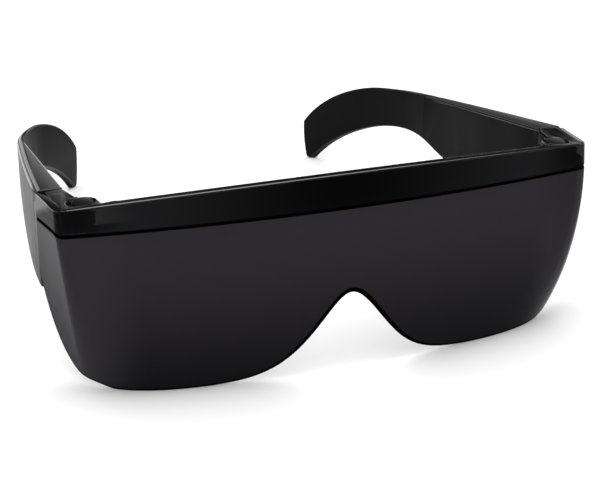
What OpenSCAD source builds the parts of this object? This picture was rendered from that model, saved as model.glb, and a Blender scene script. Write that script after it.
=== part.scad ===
// Low vision sunglasses: a wraparound pair that is worn over ordinary spectacles.
// A tall tinted lens hangs under a brow band, and two shield-like temples hinge
// in the end pieces. The front faces -Y and the temples run back to +Y.
// The lens edges and the temple tips stand on the plane z = 0.

/* [Front] */
// Half the width of the front at its corners
corner_x = 74.9; // [70:0.1:80]
// Radius of the front's curve, seen from above
front_r = 394; // [340:1:460]
// Lean of the band's face: how far it goes back per mm of height
lean = 0.16; // [0:0.01:0.2]
// Height of the band's top edge in the middle
top_mid_z = 56.05; // [54:0.1:60]
// Height of the band's top edge at the corners
top_corner_z = 52.8; // [51.5:0.1:54]
// Height of the joint line between band and lens in the middle
groove_mid_z = 47.2; // [45.5:0.05:48]
// Height of the joint line at the corners
groove_corner_z = 46.35; // [45.5:0.05:47]
// Length of each corner's rounding along its two faces
corner_leg = 2.4; // [2.2:0.1:3]

/* [Brow band] */
// Thickness of the band across the front
band_t = 2.4; // [2.2:0.1:2.8]
// Thickness of the band's side walls
side_t = 2; // [1.9:0.05:2.1]
// Chamfer on each side of the joint line
bead_c = 0.4; // [0.2:0.05:0.5]
// Thickness of the end pieces' top plates
plate_t = 1.7; // [1.5:0.05:1.75]
// Fall of the joint line from the corner to the temple, per mm of length
line_slope = 0.14; // [0.08:0.005:0.18]
// Fall of the end pieces from the corner to the temple, per mm of length
end_slope = 0.09; // [0.06:0.005:0.1]
// Rise of the end pieces towards the middle, per mm of width
end_lean = 0.06; // [0.03:0.005:0.08]

/* [Lens] */
// Thickness of the lens
lens_t = 1.8; // [1.6:0.1:2]
// Radius of the lens's bulge, seen from the side
lens_r = 66.5; // [50:0.2:80]
// Height of the foremost point of the bulge
bulge_z = 22; // [18:0.5:28]
// Lean of the lens's corners towards the middle, per mm below the joint line
fold_in = 0.077; // [0.02:0.001:0.1]
// Growth of that lean further down
fold_curl = 0.0016; // [0:0.0001:0.004]
// Lean of the lens's corners towards the temples, per mm below the joint line
fold_back = 0.154; // [0.08:0.005:0.2]
// Softening of the corners half way down
fold_soft = 0.9; // [0:0.1:4]
// Height of the nose arch
nose_h = 24.8; // [22:0.1:28]
// Rounding of the top of the nose arch
nose_soft = 1.8; // [0.8:0.1:5]
// Spread of the nose arch
nose_w = 13.8; // [12:0.1:16]
// Flare of the nose arch: the bigger, the more its sides spread at the bottom
nose_e = 1.45; // [1.2:0.01:1.8]
// Rise of the lens's lower corners
corner_rise = 2.7; // [1:0.1:5]
// Distance from the middle at which the lower corners start to rise
rise_from = 61.75; // [50:0.25:65]
// Height of the lens's rear lower corners, beside the temples
return_h = 28.4; // [20:0.5:30]
// Thickness of the tongue on the lens's upper edge
tongue_t = 0.75; // [0.6:0.05:0.8]
// Height of the tongue
tongue_h = 1.8; // [1.2:0.1:2]
// Clearance between the tongue and its slot, on each face
tongue_gap = 0.1; // [0.05:0.01:0.15]

/* [End pieces] */
// Length of the end pieces' sides, from the corner back to the temple joint
end_l = 17.7; // [17:0.1:18.4]
// How far each side wall spreads outwards over that length
end_out = 1.9; // [0.8:0.1:2.3]
// Width of the end pieces' top plates at the temple joint
plate_w = 7.2; // [6:0.1:8]
// Gap between the front and the temples
seam_gap = 0.35; // [0.2:0.05:0.5]

/* [Hinges] */
// Distance of each hinge pin inside the corner
pin_in = 8; // [7.7:0.1:8.3]
// Distance of each hinge pin behind the corner
pin_back = 4.3; // [4.2:0.05:4.5]
// Diameter of the pin's shank
pin_d = 2.4; // [2:0.1:2.6]
// Running clearance of the shank in the leaf, on the radius
pin_gap = 0.05; // [0.02:0.01:0.08]
// Diameter of the pin's flat head
head_d = 6; // [5.8:0.1:6.6]
// Thickness of the pin's head
head_t = 1.2; // [1:0.1:1.4]
// Diameter of the riveted lower end of the pin
foot_d = 3.4; // [3:0.1:3.8]
// Diameter of the leaf's eye
eye_d = 5.6; // [5.2:0.1:5.8]
// Diameter of the round heel beside the eye
heel_d = 4.4; // [3.8:0.1:4.4]
// Distance of the heel outside the pin
heel_off = 4; // [3.8:0.1:4]
// Thickness of the leaf
leaf_t = 3.1; // [2.6:0.1:3.2]
// Diameter of the rivet that holds a leaf in its temple
rivet_d = 1.4; // [1.2:0.1:1.6]
// Diameter of the rivet's flush head
rivet_head_d = 2.8; // [2.4:0.1:3]

/* [Temples] */
// Thickness of the temple's wall
wall_t = 1.9; // [1.7:0.1:2]
// Thickness of the temple's top flange
flange_t = 1.4; // [1.3:0.1:1.7]
// Angle by which the front of a temple runs inwards, beside the hinge leaf
front_in = 4.8; // [1:0.1:5]
// Length of that straight front
front_l = 14; // [13:0.5:16]
// Radius of the long curve from there to the ear, seen from above
side_r = 1300; // [900:20:2500]
// Length of a temple from its joint to its tip
temple_l = 122; // [119:0.1:125]
// Share of that length, along the wall, at which the bend round the ear starts
bend_at = 0.62; // [0.58:0.005:0.66]
// Radius of the bend round the ear, seen from above
ear_r = 62.5; // [50:0.5:70]
// Angle of that bend
ear_a = 29.5; // [30:0.1:36]
// Height of the temple's upper edge at the joint
temple_z = 51.6; // [50.5:0.05:52]
// Fall of the upper edge per mm of length
temple_slope = 0.1945; // [0.17:0.001:0.2]
// Radius of the long belly along the lower edge
belly_r = 130; // [110:1:160]
// Share of the length at which the belly is lowest
belly_at = 0.338; // [0.26:0.002:0.4]
// Height of the belly's lowest point
belly_z = 17.05; // [15:0.1:22]
// Share of the length at which the belly turns into the arch over the ear
arch_at = 0.575; // [0.54:0.005:0.61]
// Radius of the arch over the ear
arch_r = 45.8; // [40:0.1:55]
// Share of the length at which the upper edge starts to turn down
hook_at = 0.788; // [0.74:0.001:0.82]
// Radius of that turn
hook_r = 37.4; // [34:0.5:46]
// Radius of the round end, seen from the side
end_r = 60; // [50:1:70]
// Height of the end's hindmost point
end_mid = 12; // [8:0.5:30]
// Rounding of the tip's lower corner
tip_soft = 1.2; // [0.6:0.1:1.6]
// Width of the bevel along the upper outer edge
bevel_w = 1.0; // [0.4:0.1:1.3]

/* [Hidden] */
$fn = 96;
eps = 0.01;

// The band stands this far in front of the brow's middle line
band_y = -0.6;
function arch_z(x) = top_mid_z - (top_mid_z - top_corner_z) * pow(x / corner_x, 2);
function line_z(x) = groove_mid_z - (groove_mid_z - groove_corner_z) * pow(min(abs(x), corner_x) / corner_x, 2);
function plan_y(x) = front_r - sqrt(front_r * front_r - x * x) + band_y;
corner_y = plan_y(corner_x);
// The temple joint and the hinge pin go with the corner
seam_x = corner_x + end_out;
seam_y = corner_y + end_l;
end_y = seam_y - seam_gap / 2;
pin_x = corner_x - pin_in;
pin_y = corner_y + pin_back;
// The joint line falls from here back to the temple
fall_y = corner_y + 3.2;
end_line_z = groove_corner_z - line_slope * (end_y - fall_y);
// How much further forward the leaning face is at height z than at the corner's top
function lean_y(z) = lean * (top_corner_z - z);
// Tilting the band about its corners' tops stretches its level sections by this much from front to back
lean_k = norm([1, lean]);
// Lengths that reach past the whole part, and a height under the whole band
wide = seam_x + 14;
deep = seam_y + temple_l + 15;
tall = top_mid_z + 14;
base_z = groove_corner_z - line_slope * end_l - 4;
far_y = end_y + lean_y(base_z) + 1;
arch_xs = [for (i = [-16 : 16]) i * wide / 18];
// Angle of the side walls from the Y axis, and of the front at its corner
side_a = atan((seam_x - corner_x) / (seam_y - corner_y));
front_a = asin(corner_x / front_r);
turn_a = 90 - side_a - front_a;
fillet_r = corner_leg / tan(turn_a / 2);
side_n = [cos(side_a), -sin(side_a)];
// The outer face of the side wall, moved inwards by o, at distance q behind the brow's middle
function side_x(o, q) = (side_c + fillet_r - o - side_n[1] * q) / side_n[0];
// Centre of the corner's rounding: inside the side line and the front circle
side_c = side_n * [corner_x, corner_y] - fillet_r;
big_c = [0, front_r + band_y];
fillet_t = -(side_n[0] * 0 + side_n[1] * big_c[1] - side_c);
fillet_s = sqrt(pow(front_r - fillet_r, 2) - pow(fillet_t, 2));
fillet_p = big_c + fillet_t * side_n + fillet_s * [-side_n[1], side_n[0]] * -1;

// Slot for the lens's tongue, measured from the outer face
slot_in = 0.6;
slot_out = slot_in + tongue_t + 2 * tongue_gap;

// Top surface of an end piece at a point
function end_z(x, y) = top_corner_z + end_lean * (corner_x - x) - end_slope * (y - corner_y);
head_z = end_z(pin_x, pin_y);
lug_top = head_z - head_t;
leaf_top = temple_z - plate_t - 0.35;
lug_z = leaf_top + 0.1;
eye_z = leaf_top - 2.5;
heel_z = leaf_top - 3.4;
rivet_y = seam_y + 5;
rivet_z = temple_z - temple_slope * 5 - flange_t - 1.2;

// Stations along the temple
belly_y = seam_y + belly_at * temple_l;
arch_from = seam_y + arch_at * temple_l;
hook_from = seam_y + hook_at * temple_l;
tip_y = seam_y + temple_l;
// The temple's outer face from above: a straight front, a long curve to ear_p and a bend round the ear
function dir(a) = [cos(a), sin(a)];
side_p0 = [seam_x, seam_y] + front_l * dir(90 + front_in);
side_c0 = side_p0 - side_r * dir(front_in);
temple_in = (bend_at * temple_l - front_l) / side_r * 180 / PI + front_in;
ear_p = side_c0 + side_r * dir(temple_in);
ear_c = ear_p - ear_r * dir(temple_in);
ear_end = ear_c + ear_r * dir(temple_in + ear_a);
// Centres of the belly, of the arch that touches it, and of the upper edge's turn
belly_c = [belly_y, belly_z + belly_r];
belly_a = asin((arch_from - belly_y) / belly_r);
arch_c = belly_c + (belly_r + arch_r) * [sin(belly_a), -cos(belly_a)];
// Centre of the round end, and of the rounding that touches both the end and the arch
end_c = [tip_y - end_r, end_mid];
end_d = norm(end_c - arch_c);
end_u = (end_c - arch_c) / end_d;
soft_t = (pow(arch_r + tip_soft, 2) - pow(end_r - tip_soft, 2) + end_d * end_d) / (2 * end_d);
soft_c = arch_c + soft_t * end_u + sqrt(pow(arch_r + tip_soft, 2) - soft_t * soft_t) * [end_u[1], -end_u[0]];

// Lens surface
function lens_zn(z, zg) = z * groove_mid_z / zg;
function bulge(z) = -(sqrt(pow(lens_r, 2) - pow(z - bulge_z, 2)) - sqrt(pow(lens_r, 2) - pow(groove_mid_z - bulge_z, 2)));
function fold_x(z) = corner_x - fold_in * (groove_mid_z - z) - fold_curl * pow(groove_mid_z - z, 2);
function wrap(z) = fold_back * (groove_mid_z - z);
function leg(z) = corner_leg + fold_soft * sin(180 * min(1, max(0, (groove_mid_z - z) / groove_mid_z)));
function front_p(t, z) = let (x = t * fold_x(z)) [x, corner_y + lean_k * (plan_y(x) - corner_y) - lean_y(line_z(x)) + bulge(z) + wrap(z) * pow(t, 8)];
function side_p(w, z) = front_p(1, z) + w * ([side_x(0, corner_y + (end_y + lean_y(end_line_z) - corner_y) / lean_k), end_y] - front_p(1, z));
function arc_p(a, c, b, k, q) = (pow(1 - k, 2) * a + 2 * k * (1 - k) * q * c + k * k * b) / (pow(1 - k, 2) + 2 * k * (1 - k) * q + k * k);
// Half of a level section of the lens: u is 0 in the middle, 1 to 1.2 round the corner, 2 at the temple
function half_p(u, z) =
  let (c = front_p(1, z), s = side_p(1, z), tf = leg(z) / fold_x(z), ts = leg(z) / norm(s - c))
  u <= 1 ? front_p(u * (1 - tf), z) :
  u < 1.2 ? arc_p(front_p(1 - tf, z), c, side_p(ts, z), (u - 1) / 0.2, cos(turn_a / 2)) :
  side_p(ts + (1 - ts) * (u - 1.2) / 0.8, z);
function groove_z(x, y) = line_z(x) - line_slope * max(0, y - fall_y);
// Height of the lower edge over its lowest point: the nose arch, then the rise at the corner
function nose_u(x) = pow(norm([x, nose_soft]) / nose_w, nose_e);
low_x = fold_x(0);
function edge_raw(x) = nose_h * exp(nose_u(0) - nose_u(x)) + corner_rise * pow(max(0, (x - rise_from) / (low_x - rise_from)), 1.5);
edge_min = min([for (i = [0 : 200]) edge_raw(low_x * (0.4 + 0.002 * i))]);
function edge_z(u) =
  let (c = edge_raw(low_x) - edge_min)
  u <= 1.2 ? edge_raw(min(u, 1) * (low_x - corner_leg) + max(0, u - 1) * 5 * corner_leg) - edge_min : c + (return_h - c) * pow((u - 1.2) / 0.8, 1.45);

FRONT_N = 26;
CORNER_N = 5;
SIDE_N = 5;
ROW_N = 12;
us = concat([for (i = [0 : FRONT_N]) pow(i / FRONT_N, 1.25)], [for (i = [1 : CORNER_N]) 1 + 0.2 * i / CORNER_N], [for (i = [1 : SIDE_N]) 1.2 + 0.8 * i / SIDE_N]);
// One column of the lens's outer face, as [u, height]
function top_z(u) = let (p = half_p(u, groove_mid_z)) groove_z(p[0], p[1]) - 0.06;
function skin_p(u, z, zg) = let (p = half_p(u, lens_zn(z, zg))) [p[0], p[1], z];
function skin_n(u, z, zg) =
  let (a = skin_p(max(u - 0.004, 0), z, zg), b = skin_p(min(u + 0.004, 2), z, zg), c = skin_p(u, z - 0.2, zg), d = skin_p(u, z + 0.2, zg), n = cross(b - a, d - c))
  u == 0 ? [0, n[1], n[2]] / norm([0, n[1], n[2]]) : n / norm(n);
function flat_n(u) = let (a = half_p(max(u - 0.004, 0), groove_mid_z), b = half_p(min(u + 0.004, 2), groove_mid_z), t = (b - a) / norm(b - a)) u == 0 ? [0, -1, 0] : [t[1], -t[0], 0];
function off_p(u, z, zg, o) = let (p = skin_p(u, z, zg) - o * skin_n(u, z, zg)) [p[0], min(p[1], end_y), p[2]];
function top_p(u, z, zg, o) = let (p = half_p(u, groove_mid_z), n = flat_n(u)) [p[0] - o * n[0], min(p[1] - o * n[1] + lean * (z - zg), end_y), z];
// The closed section of the lens at u, from the lower edge up the outer face and down the inner one
function loop_p(u) =
  let (zb = edge_z(u), zg = top_z(u), zt = zg + tongue_h, zc = zg - bead_c, n = ROW_N, o1 = slot_in + tongue_gap, o2 = o1 + tongue_t)
  concat(
    [for (i = [0 : n]) off_p(u, zb + (zc - zb) * i / n, zg, 0)],
    [top_p(u, zg, zg, bead_c), top_p(u, zg, zg, o1), top_p(u, zt, zg, o1), top_p(u, zt, zg, o2), top_p(u, zg, zg, o2), top_p(u, zg, zg, lens_t)],
    [for (i = [n : -1 : 0]) off_p(u, zb + (zc - zb) * i / n, zg, lens_t)]);
function flip_p(l) = [for (p = l) [-p[0], p[1], p[2]]];
lens_cols = let (h = [for (u = us) loop_p(u)]) concat([for (i = [len(h) - 1 : -1 : 1]) flip_p(h[i])], h);
lens_front = min([for (c = lens_cols) for (p = c) p[1]]);
lens_low = min([for (c = lens_cols) for (p = c) p[2]]);
mid_y = (lens_front + tip_y) / 2;

// Everything drawn in it leans back with the band's face
module leaning() {
  translate([0, corner_y, top_corner_z])
    rotate([-atan(lean), 0, 0])
      translate([0, -corner_y, base_z - top_corner_z])
        linear_extrude(tall - base_z)
          children();
}

// Front outline offset inwards by o: everything behind the front circle and between the side walls
module plan_region(o) {
  difference() {
    intersection() {
      translate(big_c)
        circle(r = front_r - o, $fn = 720);
      polygon([for (s = [1, -1], q = s > 0 ? [-end_l, far_y] : [far_y, -end_l]) [s * side_x(o, q), q]]);
    }
    for (s = [1, -1])
      corner_bit(s, o);
  }
  for (s = [1, -1])
    translate([s * fillet_p[0], fillet_p[1]])
      circle(r = fillet_r - o, $fn = 96);
}

// The sharp corner that the rounding takes away
module corner_bit(s, o) {
  a = fillet_p + (fillet_r - o) * (fillet_p - big_c) / norm(fillet_p - big_c);
  b = fillet_p + (fillet_r - o) * side_n;
  polygon([[s * a[0], a[1]], [s * (a[0] + 1), a[1] - 9], [s * (b[0] + 9), b[1] - 3], [s * b[0], b[1]]]);
}

// Solid above the band's arched top edge
module above_arch() {
  translate([0, deep, 0])
    rotate([90, 0, 0])
      linear_extrude(1.25 * deep)
        polygon(concat([[-wide, tall + 1]], [for (x = arch_xs) [x, arch_z(x)]], [[wide, tall + 1]]));
}

// Solid under the joint line between band and lens, with the line raised by dz
module below_line(dz) {
  translate([0, fall_y, 0])
    rotate([90, 0, 0])
      linear_extrude(3 * end_l)
        polygon(concat([[-wide, base_z - 1]], [for (x = arch_xs) [x, line_z(x) + dz]], [[wide, base_z - 1]]));
  translate([-wide, fall_y, groove_corner_z + dz])
    rotate([-atan(line_slope), 0, 0])
      translate([0, -0.05, -end_l])
        cube([2 * wide, 3 * end_l, end_l]);
}

// Solid above the sloping top of the end piece on side s, with the top lowered by dz
module above_end(s, dz) {
  intersection() {
    translate([s * corner_x, corner_y, top_corner_z - dz])
      rotate([-atan(end_slope), s * atan(end_lean), 0])
        translate([-2 * end_l, -end_l, 0])
          cube([4 * end_l, 4 * end_l, end_l]);
    translate([s > 0 ? corner_x - end_l : -wide, corner_y, base_z])
      cube([wide - corner_x + end_l, 3 * end_l, tall]);
  }
}

// Top plate of an end piece, seen from above
module plate_plan(s) {
  intersection() {
    plan_region(0.3);
    polygon([[s * (pin_x - 3.9), 0], [s * wide, 0], [s * wide, end_y - 0.02], [s * (seam_x - plate_w), end_y - 0.02], [s * (pin_x + 0.9), pin_y + 4.6], [s * (pin_x - 1.6), pin_y + 3.5], [s * (pin_x - 3.5), pin_y + 1.2], [s * (pin_x - 3.9), pin_y - 2]]);
  }
}

module end_piece(s) {
  difference() {
    translate([0, 0, base_z])
      linear_extrude(tall - base_z)
        plate_plan(s);
    above_end(s, 0.02);
    above_arch();
    // Hollow under the plate
    translate([s * corner_x, corner_y, top_corner_z - plate_t])
      rotate([-atan(end_slope), s * atan(end_lean), 0])
        translate([-2 * end_l, -end_l, -2 * end_l])
          cube([4 * end_l, 4 * end_l, 2 * end_l]);
    // Crescent clearance beside the pin's head, widest behind and outside
    intersection() {
      translate([s * (pin_x + 0.5), pin_y + 0.4, base_z])
        cylinder(d = head_d + 1.7, h = tall - base_z);
      translate([s > 0 ? pin_x - 0.3 : -pin_x + 0.3 - 2 * head_d, pin_y - head_d, base_z])
        cube([2 * head_d, 2 * head_d, tall - base_z]);
    }
  }
}

// Round lug that carries the pin, joined to the back of the band
module lug(s) {
  translate([0, 0, lug_z])
    linear_extrude(lug_top - lug_z + 0.6)
      intersection() {
        union() {
          translate([s * pin_x, pin_y])
            circle(d = head_d);
          translate([s * pin_x - 2.4, pin_y - 5])
            square([4.8, 5]);
        }
        plan_region(0.3);
      }
}

module brow_band() {
  color([0.13, 0.125, 0.14])
    difference() {
      union() {
        difference() {
          leaning()
            difference() {
              plan_region(0);
              translate([0, band_t - side_t])
                plan_region(side_t);
            }
          above_arch();
          for (s = [1, -1])
            above_end(s, 0);
          below_line(0);
          // Straight rear ends beside the temples
          translate([-wide, end_y, base_z - 1])
            cube([2 * wide, end_l, tall]);
        }
        for (s = [1, -1]) {
          end_piece(s);
          lug(s);
        }
      }
      // Slot for the lens's tongue
      intersection() {
        leaning()
          difference() {
            plan_region(slot_in);
            plan_region(slot_out);
          }
        below_line(tongue_h + tongue_gap);
      }
      // Rebate along the joint line
      intersection() {
        leaning()
          difference() {
            plan_region(-1);
            plan_region(bead_c);
          }
        below_line(bead_c);
      }
      for (s = [1, -1]) {
        translate([s * pin_x, pin_y, lug_top])
          cylinder(d = head_d + 0.1, h = 10);
        translate([s * pin_x, pin_y, lug_z - 1])
          cylinder(d = pin_d, h = 10);
      }
    }
}

// Triangles that close the section at each end: the sheet in strips, then the step and the tongue
end_cap = let (r = ROW_N, n = len(lens_cols[0])) concat(
  [for (j = [0 : r - 1]) [j, j + 1, n - 1 - j]],
  [for (j = [0 : r - 1]) [j + 1, n - 2 - j, n - 1 - j]],
  [for (j = [1, 2, 5, 6]) [r, r + j, r + (j == 2 ? 5 : j + 1)]],
  [[r + 2, r + 3, r + 4], [r + 2, r + 4, r + 5]]);

module lens() {
  n = len(lens_cols[0]);
  m = len(lens_cols);
  color([0.19, 0.18, 0.2])
    polyhedron(
      points = [for (c = lens_cols) for (p = c) [p[0], p[1], p[2] - lens_low]],
      faces = concat(
        [for (i = [0 : m - 2], j = [0 : n - 1]) let (k = (j + 1) % n) [i * n + j, i * n + k, (i + 1) * n + k]],
        [for (i = [0 : m - 2], j = [0 : n - 1]) let (k = (j + 1) % n) [i * n + j, (i + 1) * n + k, (i + 1) * n + j]],
        [for (t = end_cap) [t[2], t[1], t[0]]],
        [for (t = end_cap) let (b = (m - 1) * n) [b + t[0], b + t[1], b + t[2]]]),
      convexity = 10);
}

// On the outer face of the right temple's straight front, y behind the joint
module at_wall(y) {
  translate([seam_x, seam_y])
    rotate(front_in)
      translate([0, y])
        children();
}

// Sector of the plan between two angles, out past radius r
module sector(r, from, to) {
  polygon([[0, 0], 1.3 * r * dir(from), 1.3 * r * dir((from + to) / 2), 1.3 * r * dir(to)]);
}

// Curved strip of wall between two angles: from a to b inside radius r
module bow(r, a, b, from, to) {
  intersection() {
    difference() {
      circle(r = r - a, $fn = 360);
      circle(r = r - b, $fn = 360);
    }
    sector(r, from, to);
  }
}

// Plan of the right temple's wall, from the outer face inwards by a to b
module wall_plan(a, b) {
  at_wall(-1)
    translate([-b, 0])
      square([b - a, front_l + 1]);
  translate(side_c0)
    bow(side_r, a, b, front_in - 0.05, temple_in + 0.05);
  translate(ear_c)
    bow(ear_r, a, b, temple_in - 0.1, temple_in + ear_a + 0.1);
  translate(ear_end)
    rotate(temple_in + ear_a)
      translate([-b, -0.1])
        square([b - a, temple_l / 3]);
}

// Side outline of a temple in the Y and Z plane, lowered by d along the top
module side_outline(d) {
  lz = temple_z - d;
  cut_z = lz - temple_slope * (hook_from - seam_y);
  fall_a = atan(temple_slope);
  intersection() {
    union() {
      polygon([[seam_y + seam_gap / 2, 0], [seam_y + seam_gap / 2, lz], [hook_from, cut_z], [hook_from, 0]]);
      intersection() {
        translate([hook_from - hook_r * sin(fall_a), cut_z - hook_r * cos(fall_a)])
          circle(r = hook_r, $fn = 240);
        translate([hook_from - eps, 0])
          square([hook_r + 10, tall]);
      }
    }
    difference() {
      union() {
        translate(belly_c)
          circle(r = belly_r, $fn = 720);
        translate([arch_from, 0])
          square([deep, tall]);
      }
      intersection() {
        translate(arch_c)
          circle(r = arch_r, $fn = 360);
        translate([arch_from - eps, -10])
          square([deep, tall]);
      }
    }
    difference() {
      union() {
        translate(end_c)
          circle(r = end_r, $fn = 720);
        square([end_c[0] + end_r / 2, tall]);
      }
      tip_corner();
    }
    translate([0, -5])
      square([deep, tall]);
  }
}

// The sharp lower corner that the rounding of the tip takes away
module tip_corner() {
  a = arch_c + arch_r * (soft_c - arch_c) / norm(soft_c - arch_c);
  b = end_c + end_r * (soft_c - end_c) / norm(soft_c - end_c);
  difference() {
    polygon([a, b, b + [4, -9], a + [-3, -9]]);
    translate(soft_c)
      circle(r = tip_soft);
  }
}

// A side outline drawn out across the width of the right half
module across(d) {
  translate([wide, 0, 0])
    rotate([90, 0, -90])
      mirror([1, 0, 0])
        linear_extrude(wide)
          side_outline(d);
}

// On the outer face at the rivet, with Z into the wall
module at_rivet() {
  translate([0, 0, rivet_z])
    at_wall(rivet_y - seam_y)
      rotate([0, -90, 0])
        children();
}

// Bevel along the upper outer edge: it falls with the edge and runs out where the edge turns down
module edge_bevel() {
  multmatrix([[1, 0, 0, 0], [0, 1, 0, 0], [0, -temple_slope, 1, temple_z + temple_slope * seam_y]]) {
    at_wall(front_l)
      rotate([90, 0, 0])
        linear_extrude(front_l + 2)
          polygon([[0, -bevel_w], [-bevel_w - 4, 4], [4, 4], [4, -bevel_w]]);
    translate(side_c0)
      bevel_bow(side_r, front_in - 0.02, temple_in + 0.02);
    translate(ear_c)
      bevel_bow(ear_r, temple_in - 0.02, temple_in + ear_a);
  }
}

// The same on a curve of radius r: everything outside a steep cone
module bevel_bow(r, from, to) {
  intersection() {
    difference() {
      translate([0, 0, -bevel_w])
        cylinder(r = r + 3, h = bevel_w + 4, $fn = 360);
      translate([0, 0, -bevel_w - 1])
        cylinder(r1 = r + 1, r2 = r - bevel_w - 5, h = bevel_w + 6, $fn = 360);
    }
    translate([0, 0, -9])
      linear_extrude(18)
        sector(r, from, to);
  }
}

module temple_right_solid() {
  difference() {
    union() {
      intersection() {
        translate([0, 0, -5])
          linear_extrude(tall)
            wall_plan(0, wall_t);
        across(0);
      }
      intersection() {
        translate([0, 0, 10])
          linear_extrude(tall)
            difference() {
              polygon([[seam_x + 3, seam_y + seam_gap / 2], [seam_x - plate_w - 0.1, seam_y + seam_gap / 2], [seam_x - 9.9, ear_p[1] + 9], [seam_x + 3, ear_p[1] + 9]]);
              at_wall(-1)
                translate([-0.3, 0])
                  square([9, front_l + 1]);
              translate(side_c0)
                bow(side_r + 25, 0, 25.3, front_in - 0.05, temple_in + 0.05);
              translate(ear_c)
                bow(ear_r + 25, 0, 25.3, temple_in - 0.1, temple_in + ear_a + 9);
            }
        difference() {
          across(0);
          across(flange_t);
        }
      }
    }
    edge_bevel();
    // Hole and seat of the rivet
    at_rivet()
      cylinder(d = rivet_d, h = 12, center = true);
    at_rivet()
      translate([0, 0, -2])
        cylinder(d = rivet_head_d, h = 2.8);
  }
}

module temple_right() {
  color([0.16, 0.15, 0.165])
    temple_right_solid();
}

module temple_left() {
  color([0.16, 0.15, 0.165])
    mirror([1, 0, 0])
      temple_right_solid();
}

// Leaf of the right hinge: an eye on the pin, a heel in the corner, an arm and a tail in the temple
module leaf_solid() {
  hx = pin_x + heel_off;
  difference() {
    union() {
      translate([pin_x, pin_y, eye_z])
        cylinder(d = eye_d, h = leaf_top - eye_z);
      translate([hx, pin_y, heel_z + 0.8])
        cylinder(d = heel_d, h = leaf_top - heel_z - 0.8);
      translate([hx, pin_y, heel_z])
        cylinder(d1 = heel_d - 1.4, d2 = heel_d, h = 0.8);
      translate([0, 0, leaf_top - leaf_t])
        linear_extrude(leaf_t)
          polygon([[hx + heel_d / 2 - 0.15, pin_y], [seam_x - side_t - 0.75, seam_y], [seam_x - side_t - 1.1, seam_y + 1], [seam_x - plate_w + 0.3, seam_y + 1], [seam_x - plate_w + 0.3, seam_y], [pin_x + 0.4, pin_y + 2.4], [pin_x, pin_y]]);
      leaf_tail();
    }
    translate([pin_x, pin_y, heel_z - 1])
      cylinder(d = pin_d + 2 * pin_gap, h = 10);
    // Room for the riveted end of the pin
    translate([pin_x, pin_y, heel_z - 1])
      cylinder(d = foot_d + 0.6, h = eye_z - heel_z + 1);
    at_rivet()
      cylinder(d = rivet_d, h = 16, center = true);
  }
}

// The tail lies under the temple's flange, against its wall, and ends round
module leaf_tail() {
  tw = 2.4;
  intersection() {
    at_wall(0.3)
      translate([-wall_t - 0.02 - tw, 0, leaf_top - 10])
        cube([tw, 12, 12]);
    translate([wide, 0, 0])
      rotate([90, 0, -90])
        mirror([1, 0, 0])
          linear_extrude(wide)
            union() {
              polygon([[seam_y - 1.5, leaf_top - leaf_t], [seam_y - 1.5, leaf_top], [seam_y, leaf_top - 0.05], [seam_y + 0.8, leaf_top - 0.15], [rivet_y + 1, rivet_z + 0.95], [rivet_y + 1, rivet_z - 1.75], [rivet_y - 1, rivet_z - 1.9]]);
              translate([rivet_y + 1, rivet_z - 0.4])
                circle(r = 1.35);
            }
  }
}

module hinge_leaf_right() {
  color([0.05, 0.05, 0.055])
    leaf_solid();
}

module hinge_leaf_left() {
  color([0.05, 0.05, 0.055])
    mirror([1, 0, 0])
      leaf_solid();
}

// Pin of a hinge: flat head in the end piece, shank, and riveted end under the leaf's eye
module pin_solid() {
  translate([pin_x, pin_y, lug_top])
    cylinder(d = head_d, h = head_t);
  translate([pin_x, pin_y, eye_z - 0.9])
    cylinder(d = pin_d, h = lug_top - eye_z + 0.9 + eps);
  translate([pin_x, pin_y, eye_z - 0.9])
    cylinder(d = foot_d, h = 0.8);
}

module hinge_pin_right() {
  color([0.1, 0.1, 0.11])
    pin_solid();
}

module hinge_pin_left() {
  color([0.1, 0.1, 0.11])
    mirror([1, 0, 0])
      pin_solid();
}

// Rivet through the temple's wall and the leaf's tail, with a flush outer head
module rivet_solid() {
  at_rivet() {
    translate([0, 0, -0.1])
      cylinder(d = rivet_head_d, h = 0.9);
    translate([0, 0, -0.1])
      cylinder(d = rivet_d, h = wall_t + 2.4 + 0.12);
  }
}

module leaf_rivet_right() {
  color([0.05, 0.05, 0.055])
    rivet_solid();
}

module leaf_rivet_left() {
  color([0.05, 0.05, 0.055])
    mirror([1, 0, 0])
      rivet_solid();
}

translate([0, -mid_y, 0]) {
  brow_band();
  lens();
  temple_left();
  temple_right();
  hinge_leaf_left();
  hinge_leaf_right();
  hinge_pin_left();
  hinge_pin_right();
  leaf_rivet_left();
  leaf_rivet_right();
}
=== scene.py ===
"""Looks of the low vision sunglasses: tinted lens, brow band, temples and black hinge hardware."""

import math

import bmesh
import bpy
from mathutils import Matrix, Vector


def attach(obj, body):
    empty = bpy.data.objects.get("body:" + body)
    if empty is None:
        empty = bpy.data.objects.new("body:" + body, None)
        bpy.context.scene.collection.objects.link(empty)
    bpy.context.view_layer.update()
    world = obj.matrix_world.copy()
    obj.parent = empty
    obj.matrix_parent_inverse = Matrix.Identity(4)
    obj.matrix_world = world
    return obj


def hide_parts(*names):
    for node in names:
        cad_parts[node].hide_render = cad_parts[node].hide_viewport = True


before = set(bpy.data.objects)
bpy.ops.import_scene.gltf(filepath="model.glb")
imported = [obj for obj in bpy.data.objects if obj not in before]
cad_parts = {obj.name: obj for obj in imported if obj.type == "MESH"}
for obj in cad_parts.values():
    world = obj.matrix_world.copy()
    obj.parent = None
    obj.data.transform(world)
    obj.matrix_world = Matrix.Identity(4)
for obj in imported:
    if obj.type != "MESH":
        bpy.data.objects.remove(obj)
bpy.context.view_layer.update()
MM = 0.001

# Materials

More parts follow.
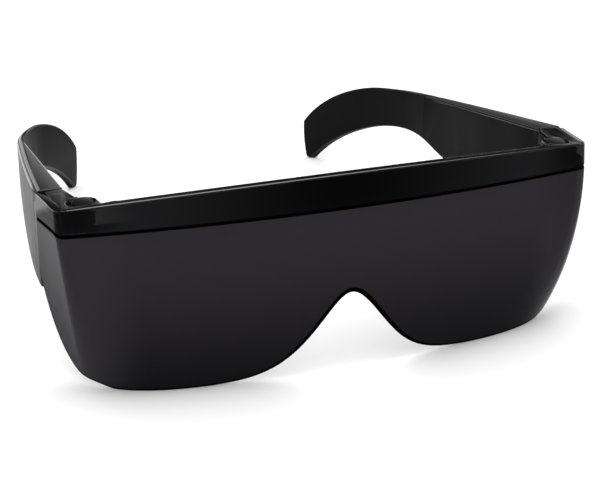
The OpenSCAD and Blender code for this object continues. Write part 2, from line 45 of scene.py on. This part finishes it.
# Between these places, in metres, each mask runs smoothly from 0 to 1: up the height, out from the middle
# and over the two ends.
RISE = (0.0, 0.045)
SPREAD = (0.0, 0.075)
ENDS = (0.054, 0.07)
DUSTY = (0.6, 0.75)  # the dust sets in between these values of its noise


def map_range(tree, source, span=(0.0, 1.0), to=(0.0, 1.0), smooth=False):
    """Carries the values of a socket from one span to another."""
    node = tree.nodes.new("ShaderNodeMapRange")
    if smooth:
        node.interpolation_type = "SMOOTHSTEP"
    for name, value in zip(("From Min", "From Max", "To Min", "To Max"), (*span, *to)):
        node.inputs[name].default_value = value
    tree.links.new(source, node.inputs["Value"])
    return node.outputs["Result"]


def moulded_surface():
    """Fine dust, the faint waviness of moulding and the place masks, shared by all the pieces."""
    group = bpy.data.node_groups.new("moulded_surface", "ShaderNodeTree")
    for name in ("Dust Scale", "Wave Scale"):
        group.interface.new_socket(name, in_out="INPUT", socket_type="NodeSocketFloat")
    for name in ("Dust", "Wave", "Rise", "Spread", "Ends"):
        group.interface.new_socket(name, in_out="OUTPUT", socket_type="NodeSocketFloat")
    nodes, link = group.nodes, group.links.new
    given, out = nodes.new("NodeGroupInput"), nodes.new("NodeGroupOutput")
    place = nodes.new("ShaderNodeTexCoord").outputs["Object"]
    dust, wave = nodes.new("ShaderNodeTexNoise"), nodes.new("ShaderNodeTexNoise")
    dust.inputs["Detail"].default_value = 6.0
    dust.inputs["Roughness"].default_value = 0.7
    wave.inputs["Detail"].default_value = 2.0
    for name, noise in (("Dust Scale", dust), ("Wave Scale", wave)):
        link(place, noise.inputs["Vector"])
        link(given.outputs[name], noise.inputs["Scale"])
    link(map_range(group, dust.outputs["Fac"], DUSTY), out.inputs["Dust"])
    link(wave.outputs["Fac"], out.inputs["Wave"])
    split, aside = nodes.new("ShaderNodeSeparateXYZ"), nodes.new("ShaderNodeMath")
    aside.operation = "ABSOLUTE"
    link(place, split.inputs["Vector"])
    link(split.outputs["X"], aside.inputs[0])
    link(map_range(group, split.outputs["Z"], RISE, smooth=True), out.inputs["Rise"])
    link(map_range(group, aside.outputs["Value"], SPREAD, smooth=True), out.inputs["Spread"])
    link(map_range(group, aside.outputs["Value"], ENDS, smooth=True), out.inputs["Ends"])
    return group


MOULDED = moulded_surface()


def shader_of(name):
    """A new material and its Principled BSDF."""
    mat = bpy.data.materials.new(name)
    mat.use_nodes = True
    return mat, mat.node_tree.nodes["Principled BSDF"]


def moulded(mat, bsdf, rough, dulled, dust_scale, wave_scale, strength, depth):
    """Dust that dulls the gloss and the moulding's wave as a bump; returns the shared group's node.

    Rough is the roughness of the clean surface, and dulled what the dust adds to it.
    """
    tree = mat.node_tree
    skin = tree.nodes.new("ShaderNodeGroup")
    skin.node_tree = MOULDED
    skin.inputs["Dust Scale"].default_value = dust_scale
    skin.inputs["Wave Scale"].default_value = wave_scale
    gloss = map_range(tree, skin.outputs["Dust"], to=(rough, rough + dulled))
    tree.links.new(gloss, bsdf.inputs["Roughness"])
    bump = tree.nodes.new("ShaderNodeBump")
    bump.inputs["Strength"].default_value = strength
    bump.inputs["Distance"].default_value = depth
    tree.links.new(skin.outputs["Wave"], bump.inputs["Height"])
    tree.links.new(bump.outputs["Normal"], bsdf.inputs["Normal"])
    return skin


def glossy_plastic(name, rough, shine, clear=0.0):
    """Glossy plastic wall, a little clear at the ends; returns its material, shader and group node."""
    mat, bsdf = shader_of(name)
    tree = mat.node_tree
    skin = moulded(
        mat, bsdf, rough, dulled=0.1, dust_scale=900.0, wave_scale=45.0, strength=0.04, depth=0.4 * MM
    )
    bsdf.inputs["IOR"].default_value = 1.5
    bsdf.inputs["Specular IOR Level"].default_value = shine
    # A wall's tint is counted once, on the way in, so the way out of the same wall is clear.
    side, once = tree.nodes.new("ShaderNodeNewGeometry"), tree.nodes.new("ShaderNodeMath")
    once.operation = "SUBTRACT"
    once.use_clamp = True
    once.inputs[0].default_value = 1.0
    if clear:
        tree.links.new(map_range(tree, skin.outputs["Ends"], to=(1.0, 1 - clear)), once.inputs[0])
    tree.links.new(side.outputs["Backfacing"], once.inputs[1])
    tree.links.new(once.outputs["Value"], bsdf.inputs["Alpha"])
    mat.surface_render_method = "BLENDED"
    return mat, bsdf, skin


def tinted_plastic_with_painted_light(name, graded_colours, mask, ends, rough, shine, clear=0.0):
    """Glossy plastic whose colour runs between two colours by a mask, and to a third colour at the ends; on
    the lens and band that run is painted light.
    """
    mat, bsdf, skin = glossy_plastic(name, rough, shine, clear)
    tree = mat.node_tree
    tint, last = tree.nodes.new("ShaderNodeMix"), tree.nodes.new("ShaderNodeMix")
    for node in (tint, last):
        node.data_type = "RGBA"
    tint.inputs["A"].default_value = (*graded_colours[0], 1)
    tint.inputs["B"].default_value = (*graded_colours[1], 1)
    last.inputs["B"].default_value = (*ends, 1)
    # The mask grades the colour: painted light on the lens and band.
    tree.links.new(skin.outputs[mask], tint.inputs["Factor"])
    tree.links.new(tint.outputs["Result"], last.inputs["A"])
    tree.links.new(skin.outputs["Ends"], last.inputs["Factor"])
    tree.links.new(last.outputs["Result"], bsdf.inputs["Base Color"])
    return mat


def painted_shade_plastic(name, colour, rough, shine):
    """Glossy plastic of one colour; near black, it is painted shade on the lens's cut edges and on a rim
    above its lower edge.
    """
    mat, bsdf, _ = glossy_plastic(name, rough, shine)
    bsdf.inputs["Base Color"].default_value = (*colour, 1)
    return mat


def black_metal(name, colour, rough, shine):
    """Black hinge hardware with a fine grain in its gloss."""
    mat, bsdf = shader_of(name)
    moulded(mat, bsdf, rough, dulled=0.2, dust_scale=2500.0, wave_scale=300.0, strength=0.15, depth=0.2 * MM)
    bsdf.inputs["Base Color"].default_value = (*colour, 1)
    bsdf.inputs["Specular IOR Level"].default_value = shine
    return mat


LENS_TINTS_AND_PAINTED_LIGHT = ((0.0062, 0.0057, 0.0068), (0.0225, 0.0205, 0.0245))
BAND_TINTS_AND_PAINTED_LIGHT = ((0.0012, 0.0012, 0.0014), (0.011, 0.0105, 0.0115))
TEMPLE_TINTS = ((0.007, 0.0068, 0.0072), (0.009, 0.0087, 0.0093))
LENS_ENDS = (0.018, 0.0165, 0.0195)
BAND_ENDS = (0.003, 0.0028, 0.0032)
BAND_EDGE_ENDS = (0.004, 0.0038, 0.0042)
TEMPLE_ENDS = (0.008, 0.0078, 0.0084)
# The lens grows lighter up its height: painted light in its tint.
LENS_PLASTIC = tinted_plastic_with_painted_light(
    "lens_tint_and_painted_light", LENS_TINTS_AND_PAINTED_LIGHT, "Rise", LENS_ENDS, rough=0.06, shine=0.02, clear=0.006
)
# The band grows lighter from its middle outwards: painted light in its tint.
BAND_PLASTIC = tinted_plastic_with_painted_light(
    "band_tint_and_painted_light", BAND_TINTS_AND_PAINTED_LIGHT, "Spread", BAND_ENDS, rough=0.06, shine=0.012, clear=0.016
)
# The temple grows a little lighter up its height.
TEMPLE_PLASTIC = tinted_plastic_with_painted_light("temple_tint", TEMPLE_TINTS, "Rise", TEMPLE_ENDS, rough=0.32, shine=0.02)
# Near black on the lens's edges, the rim above its lower edge and its upper edge in the joint: painted shade.
LENS_EDGE_PAINTED_SHADE = painted_shade_plastic("lens_edge", (0.001, 0.001, 0.001), rough=0.12, shine=0.0)
# The band's rounded edges carry the same painted light from the middle outwards.
BAND_EDGE = tinted_plastic_with_painted_light("band_edge", BAND_TINTS_AND_PAINTED_LIGHT, "Spread", BAND_EDGE_ENDS, rough=0.1, shine=0.4)
TEMPLE_EDGE = tinted_plastic_with_painted_light("temple_edge", TEMPLE_TINTS, "Rise", TEMPLE_ENDS, rough=0.2, shine=0.2)
LEAF_BLACK = black_metal("leaf_black", (0.0015, 0.0015, 0.0017), rough=0.35, shine=0.03)
PIN_BLACK = black_metal("pin_black", (0.004, 0.004, 0.0045), rough=0.28, shine=0.05)
RIVET_BLACK = black_metal("rivet_black", (0.003, 0.003, 0.003), rough=0.3, shine=0.05)

# Pieces made from the solids of their nodes

WELD = 0.02 * MM  # points closer than this are one
ROUNDED_TURN = math.radians(32)  # an edge that turns further is rounded
CREASED_TURN = math.radians(3)  # an edge between large faces that turns further stays sharp
LARGE_FACE = 3 * MM**2  # area from which a face is a large one
ROOM_SHARE = 0.4  # how much of the narrower face beside it a rounding may take
CREST_UP = 0.8  # a face that points up more than this lies on a crest
CREST_SHORT = 0.8 * MM  # a shorter edge of a crest is rounded less


def add_piece(name, mesh, materials, body, node):
    """A smooth piece with its materials, which rides on a body and stands for a node."""
    for p in mesh.polygons:
        p.use_smooth = True
    for material in materials:
        mesh.materials.append(material)
    piece = bpy.data.objects.new(name, mesh)
    bpy.context.scene.collection.objects.link(piece)
    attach(piece, body)
    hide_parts(node)
    return piece


def reach(edge, face):
    """How far a face reaches from one of its edges."""
    start = edge.verts[0].co
    along = (edge.verts[1].co - start).normalized()
    return max((v.co - start - (v.co - start).dot(along) * along).length for v in face.verts)


def mark_edges(bm, width, crest):
    """Weights the edges to be rounded, by the room beside them, and creases the other sharp ones."""
    weight = bm.edges.layers.float.new("bevel_weight_edge")
    for e in bm.edges:
        turn, sides = e.calc_face_angle(0), e.link_faces
        if turn > ROUNDED_TURN and (not crest or max(f.normal.z for f in sides) > CREST_UP):
            e[weight] = min(1, ROOM_SHARE * min(reach(e, f) for f in sides) / width)
            if crest:
                e[weight] *= min(1, e.calc_length() / CREST_SHORT)
        elif turn > ROUNDED_TURN or (turn > CREASED_TURN and min(f.calc_area() for f in sides) > LARGE_FACE):
            e.smooth = False


def softened(node, name, body, materials, width, flat=0.6, crest=False):
    """The solid of a node, its flat faces joined up and its sharp edges rounded as moulding leaves them.

    Width is that of the rounding in mm, and flat the turn in degrees up to which faces count as one. With
    crest only the edges along the top are rounded. A second material is for the rounded edges.
    """
    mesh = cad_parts[node].data.copy()
    mesh.name = name
    bm = bmesh.new()
    bm.from_mesh(mesh)
    bmesh.ops.remove_doubles(bm, verts=bm.verts, dist=WELD)
    bmesh.ops.dissolve_limit(bm, angle_limit=math.radians(flat), verts=bm.verts, edges=bm.edges)
    mark_edges(bm, width * MM, crest)
    bm.to_mesh(mesh)
    bm.free()
    mesh.materials.clear()
    piece = add_piece(name, mesh, materials, body, node)
    edge = piece.modifiers.new("edge_rounding", "BEVEL")
    edge.width = width * MM
    edge.segments = 3
    edge.limit_method = "WEIGHT"
    edge.use_clamp_overlap = False
    edge.harden_normals = True
    edge.material = 1 if len(materials) > 1 else -1


BAND_LOOK = (BAND_PLASTIC, BAND_EDGE)
SHIELD_LOOK = (TEMPLE_PLASTIC, TEMPLE_EDGE)
softened("brow_band", "band", "front", BAND_LOOK, width=0.45, flat=0.1, crest=True)
for side in ("left", "right"):
    temple = f"{side}_temple"
    softened(f"temple_{side}", f"shield_{side}", temple, SHIELD_LOOK, width=0.5, flat=0.1)
    softened(f"hinge_leaf_{side}", f"leaf_{side}", temple, (LEAF_BLACK,), width=0.15)
    softened(f"hinge_pin_{side}", f"pin_{side}", "front", (PIN_BLACK,), width=0.2)
    softened(f"leaf_rivet_{side}", f"rivet_{side}", temple, (RIVET_BLACK,), width=0.1)

# The lens, lofted afresh from the sizes of its solid, much finer and with rounded edges

# Sizes are in mm, with x across, y back from the front and z up.
MID_Y = 69.879  # where the frame's origin lies along y
FRONT_R, BAND_Y = 394.0, -0.6  # curve of the front seen from above: its radius, and its y in the middle
CORNER_X, CORNER_LEG = 74.9, 2.4  # x of the corner's sharp line, and how far its softening reaches from it
LINE_MID, LINE_CORNER = 47.2, 46.35  # height of the joint line to the band, in the middle and at the corner
LINE_SLOPE, SLOPE_FROM = 0.14, 3.2  # its fall along the return, and how far behind the corner that starts
TOP_CORNER, LEAN = 52.8, 0.16  # top of the band at the corner, and how much the front leans back
LEAN_K = math.hypot(1, LEAN)
END_L, END_OUT, SEAM_GAP = 17.7, 1.9, 0.35  # length and splay of the return, and the gap before the temple
LENS_T = 1.8  # thickness of the wall
LENS_R, BULGE_Z = 66.5, 22.0  # bulge of the front: its radius, and the height of its centre
NOSE_H, NOSE_W = 24.8, 13.7  # height and half width of the nose arch
NOSE_SOFT, NOSE_E = 3.4, 1.56  # roundness of its top, and how steeply its flanks end
CORNER_RISE, RISE_FROM, RISE_E = 2.7, 61.75, 1.5  # rise of the lower edge to the corner, and where it starts
RETURN_H, RETURN_E = 28.4, 1.45  # height of the lower edge at the temple, and how late it rises
FOLD_IN, FOLD_CURL = 0.077, 0.0016  # how the corner line runs inward below the joint line
FOLD_BACK, FOLD_SOFT = 0.154, 0.9  # how it runs back there, and how much softer the corner gets
FOLD_LATE = 8  # how late on the way to the corner the front starts to run back

# How finely the lens is made, and how its edges are rounded
FRONT_STEPS, CORNER_STEPS, RETURN_STEPS = 90, 14, 16
MIDDLE_FINER = 1.1  # above 1 the steps of the front are closer in the middle
# Along the lens u runs from 0 in the middle to 1, then round the corner and then along the return.
ROUND_U, RETURN_U = 0.2, 0.8
ROUND_END = 1 + ROUND_U
RETURN_END = ROUND_END + RETURN_U
LAST_U = 1.993  # a last step just before the end keeps its edge crisp
NEAR_U, NEAR_Z = 0.004, 0.2  # steps that directions are measured over
ROWS, ARC = 36, 4  # rows up each face, and steps of a rounding
JOINT_GAP = 0.15  # between the lens and the joint line
OUTER_ROUND, INNER_ROUND = 0.45, 1.3  # roundings of the lower edge
RIM, RIM_MORE, ARCH_END = 0.5, 0.05, 0.8  # rim of painted shade above that, its growth with height, and the arch's end
# The upper edge, from the outer face to the inner one: how far below its top and how deep in the wall
UPPER_EDGE = ((0.4, 0), (0.3, 0.03), (0.03, 0.3), (0, 0.4), (0, LENS_T - 0.15), (0.15, LENS_T))
FACE_TOP = UPPER_EDGE[0][0]
SHARP_TURN = math.radians(40)  # edges of the lens that turn further stay sharp


def brow_y(x):
    """Where the front's curve lies at x, seen from above."""
    return FRONT_R - math.sqrt(FRONT_R**2 - x * x) + BAND_Y


CORNER_Y = brow_y(CORNER_X)
END_Y = CORNER_Y + END_L - SEAM_GAP / 2
SIDE_A = math.atan(END_OUT / END_L)
TURN = math.pi / 2 - SIDE_A - math.asin(CORNER_X / FRONT_R)


def line_z(x, y):
    """Height of the joint line between band and lens."""
    level = LINE_MID - (LINE_MID - LINE_CORNER) * (min(abs(x), CORNER_X) / CORNER_X) ** 2
    return level - LINE_SLOPE * max(0, y - CORNER_Y - SLOPE_FROM)


END_LEAN = LEAN * (TOP_CORNER - line_z(CORNER_X, END_Y))
END_X = CORNER_X + math.tan(SIDE_A) * (END_Y + END_LEAN - CORNER_Y) / LEAN_K


def lens_corner(t, z):
    """A point of the bulged front at height z; t is 0 in the middle and 1 at the corner's sharp line."""
    down = LINE_MID - z
    bulge = math.sqrt(LENS_R**2 - (LINE_MID - BULGE_Z) ** 2) - math.sqrt(LENS_R**2 - (z - BULGE_Z) ** 2)
    x = t * (CORNER_X - FOLD_IN * down - FOLD_CURL * down * down)
    lean = LEAN * (TOP_CORNER - line_z(x, 0))
    fold = FOLD_BACK * down * t**FOLD_LATE
    return Vector((x, CORNER_Y + LEAN_K * (brow_y(x) - CORNER_Y) - lean + bulge + fold))


def lens_level(u, z):
    """Half a level section of the lens."""
    corner, end = lens_corner(1, z), Vector((END_X, END_Y))
    soft = CORNER_LEG + FOLD_SOFT * math.sin(math.pi * min(1, max(0, (LINE_MID - z) / LINE_MID)))
    tf, ts = soft / corner.x, soft / (end - corner).length
    if u <= 1:
        return lens_corner(u * (1 - tf), z)
    a, b = lens_corner(1 - tf, z), corner.lerp(end, ts)
    if u < ROUND_END:
        k, q = (u - 1) / ROUND_U, math.cos(TURN / 2)
        w0, w1, w2 = (1 - k) ** 2, 2 * k * (1 - k) * q, k * k
        return (w0 * a + w1 * corner + w2 * b) / (w0 + w1 + w2)
    return b.lerp(end, (u - ROUND_END) / RETURN_U)


LOW_X = CORNER_X - FOLD_IN * LINE_MID - FOLD_CURL * LINE_MID**2


def lens_raw_edge(x):
    """Nose arch and corner rise of the lower edge, before it is set down on the floor."""
    out, top = math.hypot(x, NOSE_SOFT) / NOSE_W, NOSE_SOFT / NOSE_W
    rise = max(0, (x - RISE_FROM) / (LOW_X - RISE_FROM))
    return NOSE_H * math.exp(top**NOSE_E - out**NOSE_E) + CORNER_RISE * rise**RISE_E


# The lowest point lies between the arch and the corner rise, 40 to 80 percent of the way out.
LOWEST = min(lens_raw_edge(LOW_X * (0.4 + 0.002 * i)) for i in range(201))


def lens_edge(u):
    """Height of the lens's lower edge."""
    if u <= ROUND_END:
        x = min(u, 1) * (LOW_X - CORNER_LEG) + max(0, u - 1) / ROUND_U * CORNER_LEG
        return lens_raw_edge(x) - LOWEST
    corner = lens_raw_edge(LOW_X) - LOWEST
    return corner + (RETURN_H - corner) * ((u - ROUND_END) / RETURN_U) ** RETURN_E


def lens_skin(u, z, line):
    """A point of the outer face at height z, where the joint line lies at height line."""
    p = lens_level(u, z * LINE_MID / line)
    return Vector((p.x, p.y, z))


def lens_out(u, z, line):
    """Outward direction of the outer face."""
    along = lens_skin(min(u + NEAR_U, RETURN_END), z, line) - lens_skin(max(u - NEAR_U, 0), z, line)
    n = along.cross(lens_skin(u, z + NEAR_Z, line) - lens_skin(u, z - NEAR_Z, line))
    if u == 0:
        n.x = 0
    return n.normalized()


def rim_height(u, low):
    """Height of the rim of painted shade above the lower edge, as wide on the flanks of the nose arch as on
    its top.
    """
    if u >= ARCH_END:
        return RIM
    slope = (lens_edge(u + NEAR_U / 2) - lens_edge(max(u - NEAR_U / 2, 0))) / (NEAR_U * LOW_X)
    return (RIM + min(RIM, RIM_MORE * low)) * math.hypot(1, slope)


def quarter_round(i):
    """How far the i-th point of a rounding lies up from its foot and in from its face, as shares of it."""
    a = math.radians(90 * i / ARC)
    return 1 - math.sin(a), 1 - math.cos(a)


def lens_column(u):
    """Closed section at u: up the outer face, over the top, down the inner face and round the lower edge."""
    top = lens_level(u, LINE_MID)
    line = line_z(top.x, top.y) - JOINT_GAP
    low = lens_edge(u)
    ring = []

    def put(z, depth):
        p = lens_skin(u, z, line) - depth * lens_out(u, z, line)
        ring.append(Vector((p.x, min(p.y, END_Y), p.z)))

    for i in range(ARC, -1, -1):
        up, deep = quarter_round(i)
        put(low + OUTER_ROUND * up, OUTER_ROUND * deep)
    foot = low + OUTER_ROUND + rim_height(u, low)
    for i in range(ROWS):
        put(foot + (line - FACE_TOP - foot) * i / ROWS, 0)
    flat = lens_level(min(u + NEAR_U, RETURN_END), LINE_MID) - lens_level(max(u - NEAR_U, 0), LINE_MID)
    out = Vector((0, -1)) if u == 0 else Vector((flat.y, -flat.x)).normalized()
    for below, depth in UPPER_EDGE:
        p = top - depth * out
        ring.append(Vector((p.x, min(p.y - LEAN * below, END_Y), line - below)))
    foot = low + INNER_ROUND
    for i in range(ROWS - 1, 0, -1):
        put(foot + (line - FACE_TOP - foot) * i / ROWS, LENS_T)
    for i in range(ARC + 1):
        up, deep = quarter_round(i)
        put(low + INNER_ROUND * up, LENS_T - INNER_ROUND * deep)
    return ring


def lens_end(bm, ring, step):
    """Closes an end of the lens with a strip of faces across the wall; step is 1 or -1, as the faces turn."""
    bm.faces.new(ring[ARC - 1 : ARC + 2][::step])
    even = ring[:ARC] + ring[ARC + 1 :]
    for j in range(len(even) // 2 - 1):
        bm.faces.new((even[j], even[j + 1], even[-2 - j], even[-1 - j])[::step])


def lens_piece():
    """The tinted lens as one fine closed sheet with rounded edges."""
    us = [(i / FRONT_STEPS) ** MIDDLE_FINER for i in range(FRONT_STEPS + 1)]
    us += [1 + ROUND_U * i / CORNER_STEPS for i in range(1, CORNER_STEPS + 1)]
    us += [ROUND_END + RETURN_U * i / RETURN_STEPS for i in range(1, RETURN_STEPS)] + [LAST_U, RETURN_END]
    half = [lens_column(u) for u in us]
    drop = min(p.z for ring in half for p in ring)
    rings = [[Vector((-p.x, p.y, p.z)) for p in ring] for ring in reversed(half[1:])] + half
    bm = bmesh.new()
    grid = [[bm.verts.new((p.x * MM, (p.y - MID_Y) * MM, (p.z - drop) * MM)) for p in ring] for ring in rings]
    n = len(grid[0])
    for a, b in zip(grid, grid[1:]):
        for j in range(n):
            k = (j + 1) % n
            bm.faces.new((a[j], b[j], b[k], a[k]))
    lens_end(bm, grid[0], 1)
    lens_end(bm, grid[-1], -1)
    bmesh.ops.recalc_face_normals(bm, faces=bm.faces)
    mesh = bpy.data.meshes.new("lens_sheet")
    bm.to_mesh(mesh)
    bm.free()
    add_piece("lens_sheet", mesh, (LENS_PLASTIC, LENS_EDGE_PAINTED_SHADE), "front", "lens")
    upper = ARC + 1 + ROWS
    # The roundings of the lower edge, the rim above them, the upper edge and the end caps take the near-black
    # material: painted shade.
    dark = {*range(ARC + 1), *range(upper, upper + len(UPPER_EDGE) - 1), *range(n - ARC - 1, n)}
    strips = (len(grid) - 1) * n
    for p in mesh.polygons:
        p.material_index = int(p.index >= strips or p.index % n in dark)
    mesh.set_sharp_from_angle(angle=SHARP_TURN)


lens_piece()

# Floor, light and camera

FLOOR_LINES = (-2.5, -0.8, 0.8, 2.5)
PALE, ROOM_LIGHT = 0.97, 0.9  # shade of the floor, and strength of the room's light
# In reflections the room is full white at the horizon and grows darker between these heights of a direction.
WALL_HEIGHTS, WALL_LIGHT = (0.1, 0.38), (1.0, 0.25)
# The photograph's camera, matched to the picture: turns in degrees, place in mm on the axes of the lens
YAW, PITCH, ROLL = -20.071, -25.423, 0.663
CAMERA_AT = (-134.399, -333.526, 204.809)
FOCAL_PX, PHOTO_W_PX, SENSOR_W = 1499.78, 600.0, 36.0


def pale_floor():
    """The pale floor that the pair stands on."""
    bm = bmesh.new()
    rows = [[bm.verts.new((x, y, 0)) for x in FLOOR_LINES] for y in FLOOR_LINES]
    for a, b in zip(rows, rows[1:]):
        for i in range(len(FLOOR_LINES) - 1):
            bm.faces.new((a[i], a[i + 1], b[i + 1], b[i]))
    mesh = bpy.data.meshes.new("floor")
    bm.to_mesh(mesh)
    bm.free()
    floor = bpy.data.objects.new("floor", mesh)
    bpy.context.scene.collection.objects.link(floor)
    mat, bsdf = shader_of("pale_floor")
    bsdf.inputs["Base Color"].default_value = (PALE, PALE, PALE, 1)
    bsdf.inputs["Roughness"].default_value = 0.9
    bsdf.inputs["Specular IOR Level"].default_value = 0.1
    mesh.materials.append(mat)


def soft_room():
    """Soft white room; its walls look darker above the horizon in reflections."""
    world = bpy.data.worlds.new("soft_room")
    bpy.context.scene.world = world
    world.use_nodes = True
    tree = world.node_tree
    nodes, link = tree.nodes, tree.links.new
    room = nodes["Background"]
    room.inputs["Color"].default_value = (1, 1, 1, 1)
    place, split = nodes.new("ShaderNodeTexCoord"), nodes.new("ShaderNodeSeparateXYZ")
    link(place.outputs["Generated"], split.inputs["Vector"])
    wall = map_range(tree, split.outputs["Z"], WALL_HEIGHTS, WALL_LIGHT, smooth=True)
    path, pick = nodes.new("ShaderNodeLightPath"), nodes.new("ShaderNodeMix")
    pick.inputs["A"].default_value = ROOM_LIGHT
    link(wall, pick.inputs["B"])
    link(path.outputs["Is Glossy Ray"], pick.inputs["Factor"])
    link(pick.outputs["Result"], room.inputs["Strength"])


def soft_lamp(name, place, size, power, gloss_only=False):
    """A soft panel above the pair that faces its middle; with gloss_only it shows in reflections alone."""
    lamp = bpy.data.lights.new(name, "AREA")
    lamp.shape = "RECTANGLE"
    lamp.size, lamp.size_y = size
    lamp.energy = power
    panel = bpy.data.objects.new(name, lamp)
    bpy.context.scene.collection.objects.link(panel)
    panel.location = place
    panel.visible_diffuse = not gloss_only
    panel.rotation_mode = "QUATERNION"
    panel.rotation_quaternion = (Vector() - Vector(place)).to_track_quat("-Z", "Y")


def photo_camera():
    """The photograph's own view: a long lens from the left of the picture, above the brow."""
    yaw, pitch, roll = (math.radians(v) for v in (YAW, PITCH, ROLL))
    ahead = Vector((-math.sin(yaw) * math.cos(pitch), math.cos(yaw) * math.cos(pitch), math.sin(pitch)))
    level = Vector((math.cos(yaw), math.sin(yaw), 0))
    over = level.cross(ahead)
    right = math.cos(roll) * level + math.sin(roll) * over
    up = -math.sin(roll) * level + math.cos(roll) * over
    data = bpy.data.cameras.new("camera")
    data.sensor_width = SENSOR_W
    data.lens = FOCAL_PX * SENSOR_W / PHOTO_W_PX
    data.clip_start, data.clip_end = 0.02, 20.0
    cam = bpy.data.objects.new("camera", data)
    bpy.context.scene.collection.objects.link(cam)
    x, y, z = CAMERA_AT
    place = (x * MM, (y - MID_Y) * MM, z * MM)
    rows = [(right[i], up[i], -ahead[i], place[i]) for i in range(3)]
    cam.matrix_world = Matrix((*rows, (0, 0, 0, 1)))
    bpy.context.scene.camera = cam


pale_floor()
soft_room()
soft_lamp("overhead", place=(0.0, 0.1, 1.4), size=(1.6, 1.6), power=14)
soft_lamp("edge_panel", place=(0.15, -0.1, 1.2), size=(1.3, 1.1), power=22, gloss_only=True)
photo_camera()
bpy.context.scene.view_settings.view_transform = "Standard"
